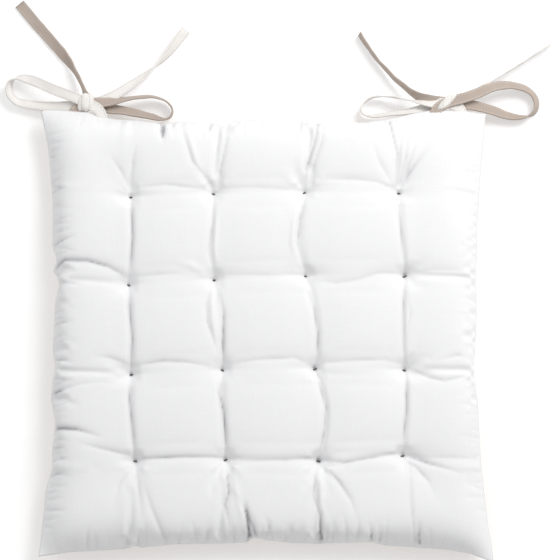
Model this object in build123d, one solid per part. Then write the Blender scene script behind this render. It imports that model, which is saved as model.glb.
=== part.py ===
from build123d import *
import math
import os

# Tufted chair seat pad with a bow of tie tapes at each rear corner.
# Millimetres. +Y runs to the rear edge, which carries the ties, +X runs to the right hand
# end of that edge as seen from the front, and +Z is up. The origin is under the middle of the
# pad, on the seat that it rests on.

# ---- pad ----
pad_width = 400.0
pad_depth = 400.0
side_draw_in = 12.0         # how far the filling draws the middle of each seam inwards
crown_height = 46.0         # top of the puffs above the seat
seam_height = 20.0          # height of the seam that joins the two panels
# the panel's rise from the seam: distance in from the seam, share of the panel's full rise
panel_rise = [(0.0, 0.0), (5.0, 0.45), (14.0, 0.74), (28.0, 0.92), (46.0, 1.0)]

# ---- cloth and seam ----
cloth = 0.7
filling_gap = 0.4           # clear space between cloth and filling
seam_allowance = 8.0        # width of cloth turned inside along the seam
seam_inset = 2.0            # seam thread's distance from the edge
seam_thread_width = 0.6
seam_thread_height = 0.7
turning_gap = 120.0         # opening left to turn the cover, in the middle of the rear edge

# ---- tufts ----
tuft_rows = 4
tuft_columns = 4
tuft_pitch = 79.0
tuft_centre_x = 1.5
tuft_centre_y = 4.0
tuft_top = 30.0             # floor of a dimple in the top cover
tuft_bottom = 10.0          # roof of a dimple in the under cover
dimple_floor_radius = 4.0
dimple_mouth_radius = 24.0
stitch_thread = 0.9
stitch_span = 3.2           # distance between the two legs of one tuft stitch
stitch_hole_gap = 0.1
# how far each tuft was sewn from its place on the grid (x, y), rear row first, left to right
tuft_drift = [
    [(-2.0, -3.0), (-7.5, 0.0), (-5.5, 1.0), (-0.5, 0.5)],
    [(-3.0, -3.0), (-6.5, 1.5), (-4.5, 5.0), (4.0, 5.0)],
    [(0.0, -3.5), (1.0, 0.5), (3.5, 1.5), (3.0, 0.5)],
    [(4.0, -0.5), (4.0, 0.5), (6.5, -0.5), (1.0, 4.0)],
]

# ---- ties ----
tape_width = 10.0
tape_thickness = 1.6
root_tuck = 6.5             # length of tape held between the panels
root_corner = 1.5           # a root's corner reaches this much further in, as the seam slants
tack_thread = 0.5
tack_width = 7.0
tack_inset = 5.0            # tack's distance from the edge
knot_size = (17.0, 16.0, 13.0)
knot_rounding = 3.0
knot_height = 18.0
strand_pitch = 2.2          # height from one strand to the next inside a knot
least_radius = 10.0         # one tape width, at the ends of the bows' loops

# heights of the four strands inside a knot, lowest first
strand_1 = knot_height - 1.5 * strand_pitch
strand_2 = knot_height - 0.5 * strand_pitch
strand_3 = knot_height + 0.5 * strand_pitch
strand_4 = knot_height + 1.5 * strand_pitch
on_seat = 1.0               # height of a tape's middle where it lies on the seat


os.makedirs("parts", exist_ok=True)


def write(node, shape):
    """Write one sub-part as its own STEP file."""
    shape.label = node
    export_step(shape, f"parts/{node}.step")


# ======== pad body ========

def outline(inset, z):
    """The seam line, drawn in by inset, as a closed wire of four arcs."""
    a = pad_width / 2 - inset
    b = pad_depth / 2 - inset
    draw = side_draw_in
    rear = ThreePointArc((-a, b, z), (0, b - draw, z), (a, b, z))
    right = ThreePointArc((a, b, z), (a - draw, 0, z), (a, -b, z))
    front = ThreePointArc((a, -b, z), (0, draw - b, z), (-a, -b, z))
    left = ThreePointArc((-a, -b, z), (draw - a, 0, z), (-a, b, z))
    return Wire([rear.edge(), right.edge(), front.edge(), left.edge()])


def seam_y(x):
    """Rear seam's Y at x, from the arc that the rear edge follows."""
    half = pad_width / 2
    radius = (half ** 2 + side_draw_in ** 2) / (2 * side_draw_in)
    return pad_depth / 2 - side_draw_in + radius - math.sqrt(radius ** 2 - x ** 2)


def prism(inset, z_low, z_high):
    """Upright block inside the seam line drawn in by inset."""
    return Part() + extrude(Face(outline(inset, z_low)), z_high - z_low, dir=(0, 0, 1))


def tuft_place(row, column):
    """Centre of one tuft."""
    x = tuft_centre_x + (column - (tuft_columns - 1) / 2) * tuft_pitch
    y = tuft_centre_y + ((tuft_rows - 1) / 2 - row) * tuft_pitch
    drift = tuft_drift[row][column]
    return x + drift[0], y + drift[1]


tufts = [(row, column) for row in range(tuft_rows) for column in range(tuft_columns)]


def half_pad(side, skin):
    """Upper (side 1) or lower (side -1) half of the pad, drawn in by skin, with its dimples."""
    rise = crown_height - seam_height if side > 0 else seam_height
    wires = [outline(skin + inset, seam_height + side * share * (rise - skin))
             for inset, share in panel_rise]
    body = Part() + Solid.make_loft(wires, ruled=True)
    floor = tuft_top - skin if side > 0 else tuft_bottom + skin
    mouth = crown_height if side > 0 else 0.0
    depth = abs(mouth - floor)
    reach = depth + skin + 1.0
    slope = (dimple_mouth_radius - dimple_floor_radius) / abs(
        (crown_height - tuft_top) if side > 0 else tuft_bottom)
    floor_radius = dimple_floor_radius + skin
    cutter = Cone(floor_radius, floor_radius + slope * reach, reach,
                  align=(Align.CENTER, Align.CENTER, Align.MIN))
    if side < 0:
        cutter = mirror(cutter, about=Plane.XY)
    cutters = [Pos(*tuft_place(row, column), floor) * cutter for row, column in tufts]
    return body - cutters


def tuft_holes():
    """Holes for both legs of every tuft stitch, right through the pad."""
    side = stitch_thread + 2 * stitch_hole_gap
    hole = Box(side, side, crown_height, align=(Align.CENTER, Align.CENTER, Align.MIN))
    legs = []
    for row, column in tufts:
        x, y = tuft_place(row, column)
        for leg in (-1, 1):
            legs.append(Pos(x + leg * stitch_span / 2, y, 0) * hole)
    return legs


# ======== ties ========

def corner_radii(points):
    """Arc radius at each inner corner of a route: 0.45 of the shorter run over tan(half turn)."""
    radii = []
    for before, here, after in zip(points, points[1:], points[2:]):
        arrive = Vector(*here) - Vector(*before)
        leave = Vector(*after) - Vector(*here)
        turn = math.radians(arrive.get_angle(leave))
        radii.append(0.45 * min(arrive.length, leave.length) / math.tan(turn / 2))
    return radii


def tape(name, points):
    """Flat tape along a route of straight runs and tangent arcs."""
    radii = corner_radii(points)
    path = FilletPolyline(*points, radius=radii)
    start = Vector(*points[0])
    along = (Vector(*points[1]) - start).normalized()
    across = along.cross(Vector(0, 0, 1)).normalized()
    section = Plane(origin=start, x_dir=across, z_dir=along) * Rectangle(tape_width, tape_thickness)
    guide = path.moved(Location((0, 0, tape_width)))
    body = sweep(section, path=path, binormal=guide.wire())
    length = path.length
    ratio = body.volume / (tape_width * tape_thickness * length)
    small = min(radii)
    print(f"{name}: length {length:.1f}, smallest radius {small:.1f}, volume ratio {ratio:.3f}")
    print("   radii", " ".join(f"{r:.0f}" for r in radii))
    if small < least_radius:
        print(f"   {name}: a radius is under {least_radius}")
    return body


# Each route runs from its root in the rear seam, once through the knot, round the bow's loop,
# back through the knot, and out to the tail's end on the seat.
routes = {
    "left_white_tie": [
        (-144, seam_y(-144) - root_tuck, seam_height), (-145, 200, strand_4),
        (-156, 206.5, strand_4), (-172, 212, strand_4), (-190, 218, 17), (-207, 225, 7),
        (-224, 228, 1.5), (-232.4, 222, on_seat), (-234, 211.9, on_seat),
        (-227.9, 203.6, on_seat), (-211, 202, 3), (-195, 202.5, 9.5), (-180, 203.5, 15.5),
        (-167, 205, strand_2), (-155, 207, strand_2), (-140, 212.5, strand_2),
        (-125, 223, 14), (-107, 236, 7), (-91, 252, 1.6), (-78, 269, on_seat),
    ],
    "left_beige_tie": [
        (-170, seam_y(-170) - root_tuck, seam_height), (-170, 202, strand_3),
        (-157.5, 207.5, strand_3), (-142, 207, strand_3), (-127, 209, strand_3),
        (-112, 214, 14), (-98, 221, 6), (-84, 224, 1.6), (-75.6, 218.1, on_seat),
        (-74.3, 207.9, on_seat), (-80.9, 200, on_seat), (-97, 199.2, 2.5), (-112, 200, 7),
        (-127, 201.5, 11.5), (-142, 203.5, strand_1), (-155, 206.5, strand_1),
        (-163.5, 216, strand_1), (-168.5, 232, 9), (-178, 248, 2.5), (-193, 264, on_seat),
        (-205, 280, 1.2), (-218, 295, on_seat),
    ],
    "right_beige_tie": [
        (151, seam_y(151) - root_tuck, seam_height), (152, 200.5, strand_4),
        (163.5, 208, strand_4), (178, 211.5, strand_4), (194, 217, 20.5), (213, 223, 11),
        (232.6, 223.5, 1.6), (240.1, 215.9, on_seat), (238.6, 205.2, on_seat),
        (229.5, 199.8, on_seat), (215, 204.5, 4.5), (202, 206, 10), (190, 206, 14.5),
        (178, 207, strand_2), (164, 208.5, strand_2), (149, 210.5, strand_2),
        (135, 215.5, 14), (121, 226, 9), (107, 240, 3), (95, 254, on_seat), (85, 268, 1.1),
    ],
    "right_white_tie": [
        (178, seam_y(178) - root_tuck, seam_height), (178, 203.5, strand_3),
        (165.5, 208, strand_3), (151, 207.5, strand_3), (136, 209, strand_3),
        (121, 214, 13), (107, 221, 5), (94, 224, 1.6), (85.5, 218.2, on_seat),
        (84, 208, on_seat), (90.4, 200, on_seat), (107, 199.2, 2.5), (122, 200, 7),
        (137, 202, 12), (151, 204.5, strand_1), (164, 208, strand_1), (177, 214, strand_1),
        (190, 225, 11.5), (205, 236, 6), (222, 246, 1.6), (239, 253, on_seat), (255, 262, 1.1),
    ],
}
knot_places = {"left_bow_knot": (-156.0, 207.0), "right_bow_knot": (164.0, 208.0)}

ties = {name: tape(name, points) for name, points in routes.items()}


def tack(points):
    """Thread bar that holds one tie's root: a flat ring through the tape and round its faces."""
    x = points[0][0]
    y = seam_y(x) - tack_inset
    outer = Box(tack_width, tack_thread, tape_thickness + 2 * tack_thread)
    inner = Box(tack_width - 2 * tack_thread, tack_thread, tape_thickness)
    return Pos(x, y, seam_height) * (outer - inner)


# ======== seam threads ========

seam_ring = (prism(seam_inset, seam_height - seam_thread_height / 2,
                   seam_height + seam_thread_height / 2)
             - prism(seam_inset + seam_thread_width, seam_height - seam_thread_height,
                     seam_height + seam_thread_height))
gap_block = Pos(0, pad_depth / 2, seam_height) * Box(turning_gap, pad_depth / 2, cloth * 4)
perimeter_seam_thread = seam_ring - gap_block
closing_stitch_thread = seam_ring & gap_block

# ======== ties and knots, cut to fit their threads and each other ========

tacks = {name: tack(points) for name, points in routes.items()}
for name in ties:
    ties[name] = ties[name] - seam_ring - tacks[name]
    write(name, ties[name])
    write(name + "_tack", tacks[name])

for name, (x, y) in knot_places.items():
    blob = Pos(x, y, knot_height) * Box(*knot_size)
    blob = fillet(blob.edges(), knot_rounding)
    write(name, blob - list(ties.values()))

write("perimeter_seam_thread", perimeter_seam_thread)
write("closing_stitch_thread", closing_stitch_thread)

# ======== covers ========

holes = tuft_holes()


def cover(side):
    """One panel: a thin shell with its dimples, and its seam allowance turned inside."""
    outer = half_pad(side, 0.0)
    shell = outer - half_pad(side, cloth)
    low = seam_height if side > 0 else seam_height - cloth
    layer = prism(-1.0, low, low + cloth) - prism(seam_allowance, low - 1.0, low + cloth + 1.0)
    panel = shell + (outer & layer)
    return panel - seam_ring - list(ties.values()) - list(tacks.values()) - holes


write("top_cover", cover(1))
write("under_cover", cover(-1))

# ======== filling ========

groove_half = tape_thickness / 2 + tack_thread + filling_gap
groove_reach = max(seam_allowance, root_tuck + root_corner) + filling_gap
groove = (prism(-1.0, seam_height - groove_half, seam_height + groove_half)
          - prism(groove_reach, seam_height - 2 * groove_half,
                  seam_height + 2 * groove_half))
core = half_pad(1, cloth + filling_gap) + half_pad(-1, cloth + filling_gap)
write("fibre_filling", core - groove - holes)

# ======== tuft stitches ========

stitch_outer = Box(stitch_span + stitch_thread, stitch_thread,
                   tuft_top - tuft_bottom + 2 * stitch_thread)
stitch_inner = Box(stitch_span - stitch_thread, stitch_thread, tuft_top - tuft_bottom)
stitch = stitch_outer - stitch_inner
for row, column in tufts:
    x, y = tuft_place(row, column)
    write(f"tuft_stitch_r{row + 1}c{column + 1}",
          Pos(x, y, (tuft_top + tuft_bottom) / 2) * stitch)
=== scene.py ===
import math
import bpy
import numpy as np
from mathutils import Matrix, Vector, noise


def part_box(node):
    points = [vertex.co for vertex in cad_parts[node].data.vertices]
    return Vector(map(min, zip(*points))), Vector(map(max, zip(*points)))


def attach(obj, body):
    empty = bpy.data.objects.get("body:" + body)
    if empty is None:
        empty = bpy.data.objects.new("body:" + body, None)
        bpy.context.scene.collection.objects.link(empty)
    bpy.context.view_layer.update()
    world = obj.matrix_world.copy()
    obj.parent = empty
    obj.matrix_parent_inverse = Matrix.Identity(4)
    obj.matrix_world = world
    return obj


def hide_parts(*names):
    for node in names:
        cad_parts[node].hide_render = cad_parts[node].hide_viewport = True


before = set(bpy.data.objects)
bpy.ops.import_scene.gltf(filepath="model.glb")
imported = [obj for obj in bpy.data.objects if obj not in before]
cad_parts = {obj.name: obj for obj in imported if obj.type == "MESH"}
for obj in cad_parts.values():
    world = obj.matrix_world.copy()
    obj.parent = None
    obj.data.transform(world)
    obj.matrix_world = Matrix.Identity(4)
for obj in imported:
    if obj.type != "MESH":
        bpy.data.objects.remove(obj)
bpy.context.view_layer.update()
mm = 0.001

# ---------------------------------------------------------------------------------------
# Studio: a pale floor to lie on, a large soft light behind the rear right corner, a weaker one
# from the left, and even light from all round. The camera looks almost straight down.
# ---------------------------------------------------------------------------------------


def set_in_scene(name, data):
    """A new object in the scene, at the origin."""
    thing = bpy.data.objects.new(name, data)
    bpy.context.scene.collection.objects.link(thing)
    return thing


floor_reach = 3.0
floor_tint = (0.68, 0.68, 0.68, 1.0)
floor_mesh = bpy.data.meshes.new("floor")
floor_mesh.from_pydata(
    [(-floor_reach, -floor_reach, 0), (floor_reach, -floor_reach, 0),
     (floor_reach, floor_reach, 0), (-floor_reach, floor_reach, 0)], [], [(0, 1, 2, 3)])
floor = set_in_scene("floor", floor_mesh)
floor_paint = bpy.data.materials.new("pale_floor")
floor_paint.use_nodes = True
floor_shader = floor_paint.node_tree.nodes["Principled BSDF"]
floor_shader.inputs["Base Color"].default_value = floor_tint
floor_shader.inputs["Roughness"].default_value = 0.9
floor_shader.inputs["Emission Color"].default_value = (1.0, 1.0, 1.0, 1.0)
floor_shader.inputs["Emission Strength"].default_value = 0.36
floor_mesh.materials.append(floor_paint)

sky = bpy.data.worlds.new("studio")
sky.use_nodes = True
sky.node_tree.nodes["Background"].inputs["Color"].default_value = (1.0, 1.0, 1.0, 1.0)
sky.node_tree.nodes["Background"].inputs["Strength"].default_value = 0.567
bpy.context.scene.world = sky

look_at = Vector((0.0138, 0.0468, 0.020))    # middle of the pad and its bows


def soft_light(name, place, size, power, tint):
    """A square area light that faces the pad."""
    lamp = bpy.data.lights.new(name, "AREA")
    lamp.size = size
    lamp.energy = power
    lamp.color = tint
    holder = set_in_scene(name, lamp)
    holder.location = place
    holder.rotation_euler = (look_at - Vector(place)).to_track_quat("-Z", "Y").to_euler()


soft_light("key_light", (0.80, 0.88, 1.28), 0.8, 18.9, (1.0, 0.998, 0.992))
soft_light("fill_light", (-1.5, 0.9, 2.1), 1.8, 10.0, (0.95, 0.97, 1.0))

camera_tilt = math.radians(82.0)     # angle above the seat
view_width = 0.4985                  # width that the camera takes in at the pad
lens = bpy.data.cameras.new("camera")
lens.lens = 150.0
camera = set_in_scene("camera", lens)
camera_distance = view_width * lens.lens / lens.sensor_width
camera.location = look_at + camera_distance * Vector(
    (0, -math.cos(camera_tilt), math.sin(camera_tilt)))
camera.rotation_euler = (math.pi / 2 - camera_tilt, 0, 0)
bpy.context.scene.camera = camera
bpy.context.scene.view_settings.view_transform = "Standard"

# ---------------------------------------------------------------------------------------
# Covers: two square panels of plain cotton, white above and beige below, sewn together
# round the edge and turned. The filling puffs them out, and sixteen tufts hold them down,
# so the loose cloth runs into creases between the tufts and gathers along the seam.
# ---------------------------------------------------------------------------------------

squares = 16                   # cloth squares from one tuft to the next
across = 5 * squares
tuft_names = [[f"tuft_stitch_r{row}c{column}" for column in range(1, 5)] for row in range(1, 5)]
tuft_boxes = [[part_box(name) for name in row] for row in tuft_names]
tuft_x = np.array([[(low[0] + high[0]) / 2 for low, high in row] for row in tuft_boxes])
tuft_y = np.array([[(low[1] + high[1]) / 2 for low, high in row] for row in tuft_boxes])
stitch_low, stitch_high = tuft_boxes[0][0][0][2], tuft_boxes[0][0][1][2]
seam_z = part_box("top_cover")[0][2]
half_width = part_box("top_cover")[1][0]
half_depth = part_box("top_cover")[1][1]

# how far the gathered seam stands inside the cut square, in millimetres: (place, inset)
rear_seam = [(-200, -1), (-185, -1), (-158, 1), (-147, 5), (-130, 7.5), (-116, 8), (-96, 10.5),
             (-91, 15), (-87, 10), (-52, 9.5), (-36, 12.5), (-29, 9), (-5, 7.5), (32, 7.5),
             (45, 9), (66, 11), (82, 11), (109, 7.5), (136, 1.5), (153, -1.5), (181, 0),
             (196, 2.5), (200, 2)]
front_seam = [(-200, 2), (-170, 6), (-120, 9), (-113, 12), (-108, 10), (-78, 13), (-40, 13.5),
              (-16, 14.5), (-9, 19), (-1, 17), (25, 14), (47, 13.5), (94, 15), (106, 12),
              (136, 10), (162, 8), (181, 4.5), (200, -2.5)]
left_seam = [(-200, 2), (-180, 4.5), (-139, 8), (-122, 13), (-106, 13), (-81, 15.5), (-61, 11.5),
             (-43, 12.5), (-31, 14.5), (-16, 12.5), (29, 14), (43, 18.5), (56, 12), (65, 15),
             (76, 11), (119, 10.5), (165, 6), (200, -1)]
right_seam = [(-200, -0.5), (-185, 1), (-172, 3.5), (-118, 9), (-61, 11.5), (-34, 14.5),
              (13, 11.5), (50, 11.5), (97, 10), (148, 6), (200, 1)]


def seam_inset(side, along):
    """Inset of one side of the seam, in metres, at distances along it."""
    places, insets = np.array(side).T
    return np.interp(along, places * mm, insets * mm)


def sewn_net():
    """Where the seam and the tufts are once sewn: 6 by 6 points, front to rear."""
    net = np.zeros((6, 6, 2))
    net[1:5, 1:5, 0] = tuft_x[::-1]
    net[1:5, 1:5, 1] = tuft_y[::-1]
    columns = np.array([-half_width, *tuft_x.mean(axis=0), half_width])
    rows = np.array([-half_depth, *tuft_y.mean(axis=1)[::-1], half_depth])
    net[0, :, 0] = net[5, :, 0] = columns
    net[:, 0, 1] = net[:, 5, 1] = rows
    net[0, :, 1] = seam_inset(front_seam, columns) - half_depth
    net[5, :, 1] = half_depth - seam_inset(rear_seam, columns)
    net[:, 0, 0] = seam_inset(left_seam, rows) - half_width
    net[:, 5, 0] = half_width - seam_inset(right_seam, rows)
    return net


steps = np.linspace(0, 5, across + 1)
cell = np.minimum(steps.astype(int), 4)
share = steps - cell


def fill_net(net):
    """All the cloth's points, spread evenly between those of a net of 6 by 6."""
    rows = net[:, cell] * (1 - share)[None, :, None] + net[:, cell + 1] * share[None, :, None]
    return (rows[cell] * (1 - share)[:, None, None]
            + rows[cell + 1] * share[:, None, None])


sewn = fill_net(sewn_net())
# the seam's own points follow its uneven line
sewn[0, :, 1] = seam_inset(front_seam, sewn[0, :, 0]) - half_depth
sewn[-1, :, 1] = half_depth - seam_inset(rear_seam, sewn[-1, :, 0])
sewn[:, 0, 0] = seam_inset(left_seam, sewn[:, 0, 1]) - half_width
sewn[:, -1, 0] = half_width - seam_inset(right_seam, sewn[:, -1, 1])

# the creases between the tufts of a column: how far each stands aside, and how high, in
# millimetres at its middle
crease_rise = [[10.0, 9.5, 9.0, 10.5], [9.5, 8.5, 8.0, 10.5], [9.5, 8.0, 7.5, 10.0]]
crease_bow = [[2.5, -2.0, -5.0, 0.5], [1.0, 1.5, 6.0, -1.5], [-1.5, -1.0, 8.5, 2.5]]
bow = np.zeros((across + 1, 6))
for row in range(3):
    start = (4 - row) * squares
    swell = np.sin(math.pi * np.arange(squares + 1) / squares)
    bow[start - np.arange(squares + 1), 1:5] += swell[:, None] * np.array(crease_bow[row]) * mm
bow_along = np.stack([np.interp(steps, range(6), line) for line in bow])

# the flat panels as cut, straight at the edge, with spare cloth for the puffs
spare_x = 1.03
spare_y = 1.022
spare_reach = 0.12             # the spare lies between the tufts, this near the middle
cut_net = sewn_net()
cut_net[0, :, 1] = -half_depth
cut_net[5, :, 1] = half_depth
cut_net[:, 0, 0] = -half_width
cut_net[:, 5, 0] = half_width
flat = fill_net(cut_net)
flat[..., 0] += bow_along
sewn[..., 0] += bow_along
inner = np.minimum(np.abs(flat), spare_reach)
flat = np.sign(flat) * (inner * (spare_x, spare_y) + np.abs(flat) - inner)

panel_number = np.arange((across + 1) ** 2).reshape(across + 1, across + 1)
under_number = panel_number.copy()
inner_count = (across - 1) ** 2
under_number[1:-1, 1:-1] = (across + 1) ** 2 + np.arange(inner_count).reshape(
    across - 1, across - 1)


def squares_of(number, up):
    """Faces of one panel, facing up or down."""
    corners = np.stack([number[:-1, :-1], number[:-1, 1:], number[1:, 1:], number[1:, :-1]],
                       axis=-1).reshape(-1, 4)
    return (corners if up else corners[:, ::-1]).tolist()


def both_panels(top_xy, top_z, under_z):
    """Points of the two panels, which share their edge."""
    top = np.dstack([top_xy, top_z]).reshape(-1, 3)
    under = np.dstack([top_xy, under_z])[1:-1, 1:-1].reshape(-1, 3)
    return np.vstack([top, under])


from_edge = np.minimum(np.minimum(steps, 5 - steps) / 0.6, 1)
swollen = np.sqrt(np.clip(1 - (1 - from_edge) ** 2, 0, 1))
puff = np.sin(math.pi * share)
start_lift = (0.011 * swollen[None, :] * swollen[:, None]
              + 0.007 * puff[None, :] * puff[:, None])
loose = both_panels(flat, seam_z + start_lift, seam_z - start_lift)
target = both_panels(sewn, seam_z + start_lift, seam_z - start_lift)

# heights to which the tufts and the creases between the tufts of a column are drawn
stitch_bar = 0.0009            # the stitch's bar lies on the cloth, this thick
dimple_top = stitch_high - stitch_bar
dimple_under = stitch_low + stitch_bar
gathered = 0.0036              # one square's width where a tuft draws it together
held = {}
for k in range(across + 1):
    for point in (panel_number[0, k], panel_number[-1, k],
                  panel_number[k, 0], panel_number[k, -1]):
        held[int(point)] = 1.0
for row in range(4):
    for column in range(4):
        j, i = (4 - row) * squares, (column + 1) * squares
        for number, height, lift in ((panel_number, dimple_top, 1),
                                     (under_number, dimple_under, -1)):
            for dj in (-1, 0, 1):
                for di in (-1, 0, 1):
                    point = int(number[j + dj, i + di])
                    ring = abs(dj) + abs(di)
                    target[point, :2] = (tuft_x[row, column] + di * gathered,
                                         tuft_y[row, column] + dj * gathered)
                    target[point, 2] = height + lift * (0.0, 0.0022, 0.0034)[ring]
                    held[point] = 1.0
        if row == 3:
            continue
        for step in range(2, squares - 1):
            part = step / squares
            swell = math.sin(math.pi * part)
            side_move = crease_bow[row][column] * mm * swell
            rise = crease_rise[row][column] * mm * swell ** 0.6
            from_tuft = np.array([tuft_x[row, column], tuft_y[row, column]])
            to_tuft = np.array([tuft_x[row + 1, column], tuft_y[row + 1, column]])
            spot = from_tuft * (1 - part) + part * to_tuft
            point = int(panel_number[j - step, i])
            target[point] = (spot[0] + side_move, spot[1], dimple_top + rise)
            held[point] = 1.0
            point = int(under_number[j - step, i])
            target[point] = (spot[0] - side_move, spot[1], dimple_under - rise * 0.8)
            held[point] = 1.0


def simulate_covers():
    """Draw the loose panels to the sewn seam and tufts while the filling pushes them out."""
    last_frame = 26
    mesh = bpy.data.meshes.new("loose_covers")
    mesh.from_pydata(loose.tolist(), [],
                     squares_of(panel_number, True) + squares_of(under_number, False))
    covers = set_in_scene("loose_covers", mesh)
    covers.shape_key_add(name="Basis")
    sewing = covers.shape_key_add(name="sewn")
    sewing.data.foreach_set("co", target.ravel())
    sewing.value = 0.0
    sewing.keyframe_insert("value", frame=1)
    sewing.value = 1.0
    sewing.keyframe_insert("value", frame=16)
    pins = covers.vertex_groups.new(name="held")
    pins.add(list(held), 1.0, "REPLACE")
    cloth = covers.modifiers.new("Cloth", "CLOTH")
    fabric = cloth.settings
    fabric.quality = 5
    fabric.mass = 0.001
    fabric.tension_stiffness = 40
    fabric.compression_stiffness = 20
    fabric.shear_stiffness = 5
    fabric.bending_stiffness = 0.02
    fabric.tension_damping = fabric.compression_damping = fabric.shear_damping = 2
    fabric.bending_damping = 0.2
    fabric.vertex_group_mass = "held"
    fabric.use_pressure = True
    fabric.uniform_pressure_force = 900
    fabric.effector_weights.gravity = 0
    cloth.collision_settings.use_collision = False
    cloth.point_cache.frame_end = last_frame
    for moment in range(1, last_frame + 1):
        bpy.context.scene.frame_set(moment)
    shown = covers.evaluated_get(bpy.context.evaluated_depsgraph_get())
    places = np.empty(len(loose) * 3)
    shown.data.vertices.foreach_get("co", places)
    bpy.data.objects.remove(covers)
    bpy.context.scene.frame_set(1)
    return places.reshape(-1, 3)


settled = simulate_covers()
top_grid = settled[panel_number]
under_grid = settled[under_number]

# beside each crease the cloth turns down in one smooth curve
for panel in (top_grid, under_grid):
    for i in range(squares, 5 * squares, squares):
        for j in range(squares + 2, 4 * squares - 1):
            if (j + 1) % squares < 3:
                continue
            base = panel[j, i]
            for way in (-1, 1):
                far = panel[j, i + 3 * way] - base
                panel[j, i + way] = base + far * (0.33, 0.33, 0.52)
                panel[j, i + 2 * way] = base + far * (0.66, 0.66, 0.83)
        # and the turn eases out into the puff
        middle = slice(squares + 2, 4 * squares - 1)
        for line in (i - 4, i - 3, i - 2, i + 2, i + 3, i + 4) * 2:
            panel[middle, line] = (0.5 * panel[middle, line]
                                   + 0.25 * (panel[middle, line - 1] + panel[middle, line + 1]))
# along the rows the puffs lie almost against each other, so the dips between them fill up
for j in range(squares, 5 * squares, squares):
    for i in range(squares + 2, 4 * squares - 1):
        if (i + 1) % squares < 3:
            continue
        fill_in = 0.75 * math.sin(math.pi * (i % squares) / squares) ** 0.7
        lower, upper = top_grid[j - 3, i, 2], top_grid[j + 3, i, 2]
        for k in range(-2, 3):
            bridge = lower + (upper - lower) * (k + 3) / 6
            top_grid[j + k, i, 2] += fill_in * max(bridge - top_grid[j + k, i, 2], 0)

# the pad's own weight keeps the puffs level, and the seat flattens the underside
level = 0.0355
soft = 0.0105
over = np.maximum(top_grid[..., 2] - level, 0)
eased = top_grid[..., 2] + soft * (1 - np.exp(-over / soft)) - over
# between the tufts the puffs lean on each other, so only the tufts themselves lie deep
puff_height = 0.0162
puff_softness = 0.0072
border = 0.052                 # the border round the tufts stays as it is
border_blend = 0.045
above_tuft = np.maximum(top_grid[..., 2] - dimple_top, 0)
packed = (np.minimum(top_grid[..., 2], dimple_top)
          + puff_height * (1 - np.exp(-above_tuft / puff_softness)))
inward = np.clip((np.minimum(half_width - np.abs(top_grid[..., 0]),
                             half_depth - np.abs(top_grid[..., 1])) - border) / border_blend, 0, 1)
inward = inward * inward * (3 - 2 * inward)
top_grid[..., 2] = (1 - inward) * eased + inward * packed
# the four corners are hardly filled, so the cloth lies smooth there
corner_passes = 14
for rows in (slice(0, squares), slice(-squares, None)):
    for columns in (slice(0, squares), slice(-squares, None)):
        corner = top_grid[rows, columns]
        for ease in range(corner_passes):
            around = (corner[:-2, 1:-1] + corner[2:, 1:-1]
                      + corner[1:-1, :-2] + corner[1:-1, 2:]) / 4
            corner[1:-1, 1:-1] = 0.4 * corner[1:-1, 1:-1] + 0.6 * around
press = 0.004                  # cloth nearer the seat than this is pressed towards it
cloth_on_seat = 0.0012
above_seat = under_grid[..., 2] - cloth_on_seat
under_grid[..., 2] = cloth_on_seat + np.where(
    above_seat > press, above_seat, press * np.exp(np.minimum(above_seat, press) / press - 1))
# the under panel keeps just inside the seam
under_grid[1:-1, 1:-1, :2] *= 0.99


def finer(grid, times):
    """The same sheet with more points, on smooth curves through the old ones."""
    for axis in (0, 1):
        lines = np.moveaxis(grid, axis, 0)
        count = len(lines) - 1
        ends = np.concatenate([2 * lines[:1] - lines[1:2], lines, 2 * lines[-1:] - lines[-2:-1]])
        along = np.arange(count * times + 1) / times
        k = np.minimum(along.astype(int), count - 1)
        t = (along - k)[:, None, None]
        a, b, c, d = ends[k], ends[k + 1], ends[k + 2], ends[k + 3]
        lines = 0.5 * (2 * b + (c - a) * t + (2 * a - 5 * b + 4 * c - d) * t ** 2
                       + (3 * b - a - 3 * c + d) * t ** 3)
        grid = np.moveaxis(lines, 0, axis)
    return grid


def outward(grid, up):
    """Direction square to the cloth, out of the pad."""
    normal = np.cross(np.gradient(grid, axis=1), np.gradient(grid, axis=0))
    normal /= np.maximum(np.linalg.norm(normal, axis=2, keepdims=True), 1e-12)
    return normal if up else -normal


def crease(grid, depth, line, width, points):
    """Add to depth the fold along a line of points. line holds how deep it is along its way."""
    points = np.array(points, float) * mm
    lengths = np.linalg.norm(np.diff(points, axis=0), axis=1)
    run = np.concatenate([[0], np.cumsum(lengths)]) / lengths.sum()
    reach = 5 * width * mm
    low, high = points.min(axis=0) - reach, points.max(axis=0) + reach
    near = ((grid[..., 0] > low[0]) & (grid[..., 0] < high[0])
            & (grid[..., 1] > low[1]) & (grid[..., 1] < high[1]))
    spots = grid[near][:, :2]
    best = np.full(len(spots), 1.0)
    place = np.zeros(len(spots))
    for k, length in enumerate(lengths):
        way = (points[k + 1] - points[k]) / length
        part = np.clip((spots - points[k]) @ way, 0, length)
        gap = np.linalg.norm(spots - points[k] - part[:, None] * way, axis=1)
        nearer = gap < best
        best[nearer] = gap[nearer]
        place[nearer] = (run[k] + part / length * (run[k + 1] - run[k]))[nearer]
    amount = np.interp(place, np.linspace(0, 1, len(line)), np.array(line, float)) * mm
    width *= 0.8
    sharp = np.exp(-best / (width * mm)) if min(line) >= 0 else np.exp(-(best / (width * mm)) ** 2)
    depth[near] += amount * sharp


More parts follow.
